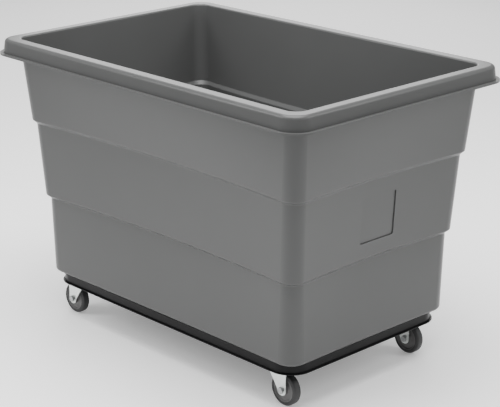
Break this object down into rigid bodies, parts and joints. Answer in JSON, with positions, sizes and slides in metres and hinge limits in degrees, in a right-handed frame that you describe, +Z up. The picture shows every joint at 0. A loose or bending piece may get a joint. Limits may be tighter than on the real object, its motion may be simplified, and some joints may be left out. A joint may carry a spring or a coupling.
{
  "type": "laundry cart",
  "caption": "Grey moulded plastic box truck for laundry: tapering three-tier tub with a turned-over rim on a low black steel base with swivel casters.",
  "frame": {"origin": "on the floor under the middle of the cart, between its wheels' lowest points and centred on the rim", "axes": "+X along the length towards the end with the label recess, +Y to the cart's left, +Z up"},
  "size_m": [1.02, 0.68, 0.7025],
  "materials": {
    "tub_plastic": "mid grey moulded polyethylene, fine satin grain",
    "base_paint": "black powder coat, satin",
    "zinc_steel": "bright zinc plate on pressed steel",
    "fastener_steel": "zinc-plated fastener",
    "ball_steel": "polished steel",
    "tread_rubber": "dark grey non-marking rubber, matt",
    "hub_plastic": "dark grey moulded wheel core",
    "bearing_plastic": "natural plain bush"
  },
  "bodies": {
    "cart_body": {"tub": "tub_plastic", "perimeter_frame": "base_paint", "cross_rail_front": "base_paint", "cross_rail_middle": "base_paint", "cross_rail_rear": "base_paint", "corner_plate_front_left": "base_paint", "corner_plate_front_right": "base_paint", "corner_plate_rear_left": "base_paint", "corner_plate_rear_right": "base_paint", "tub_bolts": "fastener_steel", "tub_washers": "fastener_steel", "tub_nuts": "fastener_steel", "caster_bolts": "fastener_steel", "caster_nuts": "fastener_steel", "caster_front_left_top_plate": "zinc_steel", "caster_front_left_kingpin": "fastener_steel", "caster_front_left_race_cap": "zinc_steel", "caster_front_right_top_plate": "zinc_steel", "caster_front_right_kingpin": "fastener_steel", "caster_front_right_race_cap": "zinc_steel", "caster_rear_left_top_plate": "zinc_steel", "caster_rear_left_kingpin": "fastener_steel", "caster_rear_left_race_cap": "zinc_steel", "caster_rear_right_top_plate": "zinc_steel", "caster_rear_right_kingpin": "fastener_steel", "caster_rear_right_race_cap": "zinc_steel"},
    "front_left_swivel": {"caster_front_left_fork": "zinc_steel", "caster_front_left_swivel_balls": "ball_steel", "caster_front_left_axle_bolt": "fastener_steel", "caster_front_left_axle_nut": "fastener_steel", "caster_front_left_axle_sleeve": "fastener_steel"},
    "front_left_wheel": {"caster_front_left_tread": "tread_rubber", "caster_front_left_hub": "hub_plastic", "caster_front_left_wheel_bearing": "bearing_plastic"},
    "front_right_swivel": {"caster_front_right_fork": "zinc_steel", "caster_front_right_swivel_balls": "ball_steel", "caster_front_right_axle_bolt": "fastener_steel", "caster_front_right_axle_nut": "fastener_steel", "caster_front_right_axle_sleeve": "fastener_steel"},
    "front_right_wheel": {"caster_front_right_tread": "tread_rubber", "caster_front_right_hub": "hub_plastic", "caster_front_right_wheel_bearing": "bearing_plastic"},
    "rear_left_swivel": {"caster_rear_left_fork": "zinc_steel", "caster_rear_left_swivel_balls": "ball_steel", "caster_rear_left_axle_bolt": "fastener_steel", "caster_rear_left_axle_nut": "fastener_steel", "caster_rear_left_axle_sleeve": "fastener_steel"},
    "rear_left_wheel": {"caster_rear_left_tread": "tread_rubber", "caster_rear_left_hub": "hub_plastic", "caster_rear_left_wheel_bearing": "bearing_plastic"},
    "rear_right_swivel": {"caster_rear_right_fork": "zinc_steel", "caster_rear_right_swivel_balls": "ball_steel", "caster_rear_right_axle_bolt": "fastener_steel", "caster_rear_right_axle_nut": "fastener_steel", "caster_rear_right_axle_sleeve": "fastener_steel"},
    "rear_right_wheel": {"caster_rear_right_tread": "tread_rubber", "caster_rear_right_hub": "hub_plastic", "caster_rear_right_wheel_bearing": "bearing_plastic"}
  },
  "joints": [
    {"name": "front_left_caster_swivel", "type": "hinge", "parent": "cart_body", "child": "front_left_swivel", "pos_m": [0.33589, 0.20439, 0.082], "axis": [0, 0, 1], "continuous": true},
    {"name": "front_left_wheel_spin", "type": "hinge", "parent": "front_left_swivel", "child": "front_left_wheel", "pos_m": [0.3559, 0.20439, 0.0381], "axis": [0, 1, 0], "continuous": true},
    {"name": "front_right_caster_swivel", "type": "hinge", "parent": "cart_body", "child": "front_right_swivel", "pos_m": [0.33589, -0.20439, 0.082], "axis": [0, 0, 1], "continuous": true},
    {"name": "front_right_wheel_spin", "type": "hinge", "parent": "front_right_swivel", "child": "front_right_wheel", "pos_m": [0.3559, -0.20439, 0.0381], "axis": [0, 1, 0], "continuous": true},
    {"name": "rear_left_caster_swivel", "type": "hinge", "parent": "cart_body", "child": "rear_left_swivel", "pos_m": [-0.3649, 0.20439, 0.082], "axis": [0, 0, 1], "continuous": true},
    {"name": "rear_left_wheel_spin", "type": "hinge", "parent": "rear_left_swivel", "child": "rear_left_wheel", "pos_m": [-0.38489, 0.20439, 0.0381], "axis": [0, 1, 0], "continuous": true},
    {"name": "rear_right_caster_swivel", "type": "hinge", "parent": "cart_body", "child": "rear_right_swivel", "pos_m": [-0.3649, -0.20439, 0.082], "axis": [0, 0, 1], "continuous": true},
    {"name": "rear_right_wheel_spin", "type": "hinge", "parent": "rear_right_swivel", "child": "rear_right_wheel", "pos_m": [-0.38489, -0.20439, 0.0381], "axis": [0, 1, 0], "continuous": true}
  ]
}
